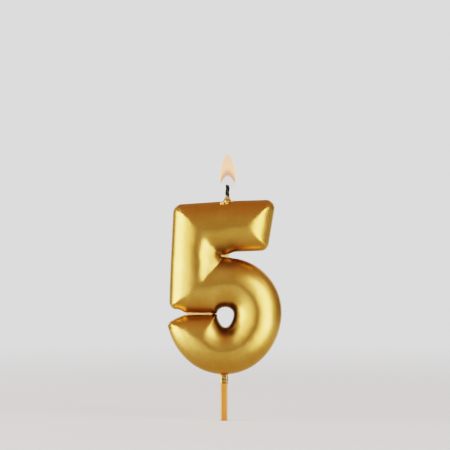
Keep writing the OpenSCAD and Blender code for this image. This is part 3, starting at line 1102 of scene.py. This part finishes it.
def make_stage():
    """A round pale floor that sweeps up into a wall all round."""
    prof = [(0.0, 0.0), (0.3, 0.0), (0.7, 0.0), (1.1, 0.0)]
    for a in np.linspace(0, 90, 19)[1:]:
        prof.append((1.1 + 1.0 * math.sin(math.radians(a)), 1.0 - math.cos(math.radians(a))))
    prof += [(2.1, 1.6), (2.1, 2.2)]
    n = 96
    verts = [(0, 0, -0.05)]
    for r, z in prof[1:]:
        for k in range(n):
            a = 2 * math.pi * k / n
            verts.append((r * 1000 * math.cos(a), r * 1000 * math.sin(a), z * 1000 - 0.05))
    fs = [(0, 1 + k, 1 + (k + 1) % n) for k in range(n)]
    for i in range(len(prof) - 2):
        for k in range(n):
            a, b = 1 + i * n + k, 1 + i * n + (k + 1) % n
            fs.append((a, a + n, b + n, b))
    m = Mat("stage_paper")
    m.set(Base_Color=(0.86, 0.86, 0.86, 1), Roughness=0.9)
    m.p.inputs["Specular IOR Level"].default_value = 0.1
    reach = m.node("VectorMath", operation="LENGTH")
    m.link(m.coord, reach.inputs[0])
    far = m.span(reach.outputs["Value"], 0.16, 0.75, 0.0, 1.0, True)
    glow = m.node("Emission")
    glow.inputs["Color"].default_value = (PALE, PALE, PALE, 1)
    both = m.node("MixShader")
    m.link(far, both.inputs["Fac"])
    m.link(m.p.outputs[0], both.inputs[1])
    m.link(glow.outputs[0], both.inputs[2])
    out = next(n for n in m.t.nodes if n.type == "OUTPUT_MATERIAL")
    m.link(both.outputs[0], out.inputs["Surface"])
    o = mesh_object("floor", verts, fs, [m.m])
    o.visible_glossy = False
    return o


make_stage()


def panel(name, angle, dist, height, w, h, power, tint=(1, 1, 1)):
    """A soft panel facing the candle. angle is from the camera's side, positive to the right."""
    a = math.radians(angle)
    d = bpy.data.lights.new(name, "AREA")
    d.shape = "RECTANGLE"
    d.size, d.size_y = w, h
    d.energy = power
    d.color = tint
    o = bpy.data.objects.new(name, d)
    scene.collection.objects.link(o)
    o.location = (dist * math.sin(a), -dist * math.cos(a), height)
    o.rotation_mode = "QUATERNION"
    o.rotation_quaternion = (Vector((0, 0, 0.055)) - o.location).to_track_quat("-Z", "Y")
    o.visible_camera = False
    return o


panel("panel_left", -72, 0.9, 0.10, 0.80, 1.0, 10.5)
panel("panel_left_fill", -34, 0.9, 0.10, 0.24, 0.9, 1.5)
panel("panel_right", 45, 0.9, 0.10, 0.53, 1.0, 7.0)
panel("panel_back_left", -156, 0.9, 0.12, 0.4, 0.9, 0.9)
panel("panel_back_right", 154, 0.9, 0.12, 0.4, 0.9, 0.9)

world = bpy.data.worlds.new("world")
scene.world = world
world.use_nodes = True
wt = world.node_tree
wbg = wt.nodes["Background"]
tc = wt.nodes.new("ShaderNodeTexCoord")
sp = wt.nodes.new("ShaderNodeSeparateXYZ")
wt.links.new(tc.outputs["Generated"], sp.inputs[0])
mp = wt.nodes.new("ShaderNodeMapRange")
wt.links.new(sp.outputs[2], mp.inputs["Value"])
mp.inputs["From Min"].default_value = -1
mp.inputs["From Max"].default_value = 1
wr = wt.nodes.new("ShaderNodeValToRGB")
wt.links.new(mp.outputs["Result"], wr.inputs["Fac"])
# brightness by height: straight down, below, at the horizon, above, straight up
sky = [
    (0.0, (0.42, 0.34, 0.29)),
    (0.12, (0.46, 0.39, 0.33)),
    (0.27, (0.56, 0.54, 0.52)),
    (0.38, (0.56, 0.54, 0.52)),
    (0.45, (0.25, 0.23, 0.21)),
    (0.5, (0.18, 0.16, 0.14)),
    (0.6, (0.24, 0.21, 0.18)),
    (0.75, (0.27, 0.21, 0.18)),
    (0.88, (0.35, 0.22, 0.17)),
    (1.0, (0.33, 0.20, 0.15)),
]
while len(wr.color_ramp.elements) < len(sky):
    wr.color_ramp.elements.new(0.5)
for e, (pos, v) in zip(wr.color_ramp.elements, sky):
    e.position = pos
    e.color = (*v, 1)
wt.links.new(wr.outputs["Color"], wbg.inputs["Color"])
pale = wt.nodes.new("ShaderNodeBackground")
pale.inputs["Color"].default_value = (PALE, PALE, PALE, 1)
ray = wt.nodes.new("ShaderNodeLightPath")
pick_ray = wt.nodes.new("ShaderNodeMixShader")
wt.links.new(ray.outputs["Is Camera Ray"], pick_ray.inputs["Fac"])
wt.links.new(wbg.outputs[0], pick_ray.inputs[1])
wt.links.new(pale.outputs[0], pick_ray.inputs[2])
wt.links.new(pick_ray.outputs[0], wt.nodes["World Output"].inputs["Surface"])

scene.view_settings.view_transform = "Filmic"
scene.view_settings.look = "High Contrast"
scene.view_settings.exposure = 0.0
